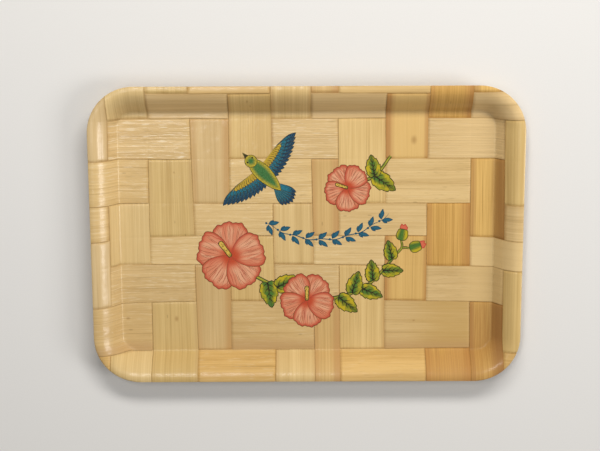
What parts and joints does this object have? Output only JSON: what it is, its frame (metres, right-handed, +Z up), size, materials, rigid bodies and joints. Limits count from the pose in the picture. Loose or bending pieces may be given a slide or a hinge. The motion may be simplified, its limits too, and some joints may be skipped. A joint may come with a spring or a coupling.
{
  "type": "serving tray",
  "caption": "Shallow rectangular serving tray pressed from two woven mats of wide bamboo strips on a core sheet, with a flared rim and printed bird and flower motifs.",
  "frame": {"origin": "centre of the underside, on the plane that the tray rests on", "axes": "+Z up out of the well, +X along the long side, +Y along the short side, towards the edge above the printed bird's head"},
  "size_m": [0.43, 0.3, 0.024],
  "materials": {
    "back_cross_strip_01": "lacquered bamboo",
    "back_cross_strip_02": "lacquered bamboo",
    "back_cross_strip_03": "lacquered bamboo",
    "back_cross_strip_04": "lacquered bamboo",
    "back_cross_strip_05": "lacquered bamboo",
    "back_cross_strip_06": "lacquered bamboo",
    "back_cross_strip_07": "lacquered bamboo",
    "back_cross_strip_08": "lacquered bamboo",
    "back_cross_strip_09": "lacquered bamboo",
    "back_cross_strip_10": "lacquered bamboo",
    "back_cross_strip_11": "lacquered bamboo",
    "back_cross_strip_12": "lacquered bamboo",
    "back_long_strip_1": "lacquered bamboo",
    "back_long_strip_2": "lacquered bamboo",
    "back_long_strip_3": "lacquered bamboo",
    "back_long_strip_4": "lacquered bamboo",
    "back_long_strip_5": "lacquered bamboo",
    "back_long_strip_6": "lacquered bamboo",
    "back_long_strip_7": "lacquered bamboo",
    "back_long_strip_8": "lacquered bamboo",
    "back_long_strip_9": "lacquered bamboo",
    "face_cross_strip_01": "gloss-lacquered bamboo",
    "face_cross_strip_02": "gloss-lacquered bamboo",
    "face_cross_strip_03": "gloss-lacquered bamboo",
    "face_cross_strip_04": "gloss-lacquered bamboo",
    "face_cross_strip_05": "gloss-lacquered bamboo",
    "face_cross_strip_06": "gloss-lacquered bamboo",
    "face_cross_strip_07": "gloss-lacquered bamboo",
    "face_cross_strip_08": "gloss-lacquered bamboo",
    "face_cross_strip_09": "gloss-lacquered bamboo",
    "face_cross_strip_10": "gloss-lacquered bamboo",
    "face_cross_strip_11": "gloss-lacquered bamboo",
    "face_cross_strip_12": "gloss-lacquered bamboo",
    "face_long_strip_1": "gloss-lacquered bamboo",
    "face_long_strip_2": "gloss-lacquered bamboo",
    "face_long_strip_3": "gloss-lacquered bamboo",
    "face_long_strip_4": "gloss-lacquered bamboo",
    "face_long_strip_5": "gloss-lacquered bamboo",
    "face_long_strip_6": "gloss-lacquered bamboo",
    "face_long_strip_7": "gloss-lacquered bamboo",
    "face_long_strip_8": "gloss-lacquered bamboo",
    "face_long_strip_9": "gloss-lacquered bamboo",
    "core_sheet": "raw veneer",
    "print_bird": "printed transfer under lacquer",
    "print_border": "printed transfer under lacquer",
    "print_spray": "printed transfer under lacquer",
    "print_sprig": "printed transfer under lacquer"
  },
  "bodies": {
    "root": {"back_cross_strip_01": "back_cross_strip_01", "back_cross_strip_02": "back_cross_strip_02", "back_cross_strip_03": "back_cross_strip_03", "back_cross_strip_04": "back_cross_strip_04", "back_cross_strip_05": "back_cross_strip_05", "back_cross_strip_06": "back_cross_strip_06", "back_cross_strip_07": "back_cross_strip_07", "back_cross_strip_08": "back_cross_strip_08", "back_cross_strip_09": "back_cross_strip_09", "back_cross_strip_10": "back_cross_strip_10", "back_cross_strip_11": "back_cross_strip_11", "back_cross_strip_12": "back_cross_strip_12", "back_long_strip_1": "back_long_strip_1", "back_long_strip_2": "back_long_strip_2", "back_long_strip_3": "back_long_strip_3", "back_long_strip_4": "back_long_strip_4", "back_long_strip_5": "back_long_strip_5", "back_long_strip_6": "back_long_strip_6", "back_long_strip_7": "back_long_strip_7", "back_long_strip_8": "back_long_strip_8", "back_long_strip_9": "back_long_strip_9", "face_cross_strip_01": "face_cross_strip_01", "face_cross_strip_02": "face_cross_strip_02", "face_cross_strip_03": "face_cross_strip_03", "face_cross_strip_04": "face_cross_strip_04", "face_cross_strip_05": "face_cross_strip_05", "face_cross_strip_06": "face_cross_strip_06", "face_cross_strip_07": "face_cross_strip_07", "face_cross_strip_08": "face_cross_strip_08", "face_cross_strip_09": "face_cross_strip_09", "face_cross_strip_10": "face_cross_strip_10", "face_cross_strip_11": "face_cross_strip_11", "face_cross_strip_12": "face_cross_strip_12", "face_long_strip_1": "face_long_strip_1", "face_long_strip_2": "face_long_strip_2", "face_long_strip_3": "face_long_strip_3", "face_long_strip_4": "face_long_strip_4", "face_long_strip_5": "face_long_strip_5", "face_long_strip_6": "face_long_strip_6", "face_long_strip_7": "face_long_strip_7", "face_long_strip_8": "face_long_strip_8", "face_long_strip_9": "face_long_strip_9", "core_sheet": "core_sheet", "print_bird": "print_bird", "print_border": "print_border", "print_spray": "print_spray", "print_sprig": "print_sprig"}
  },
  "joints": []
}
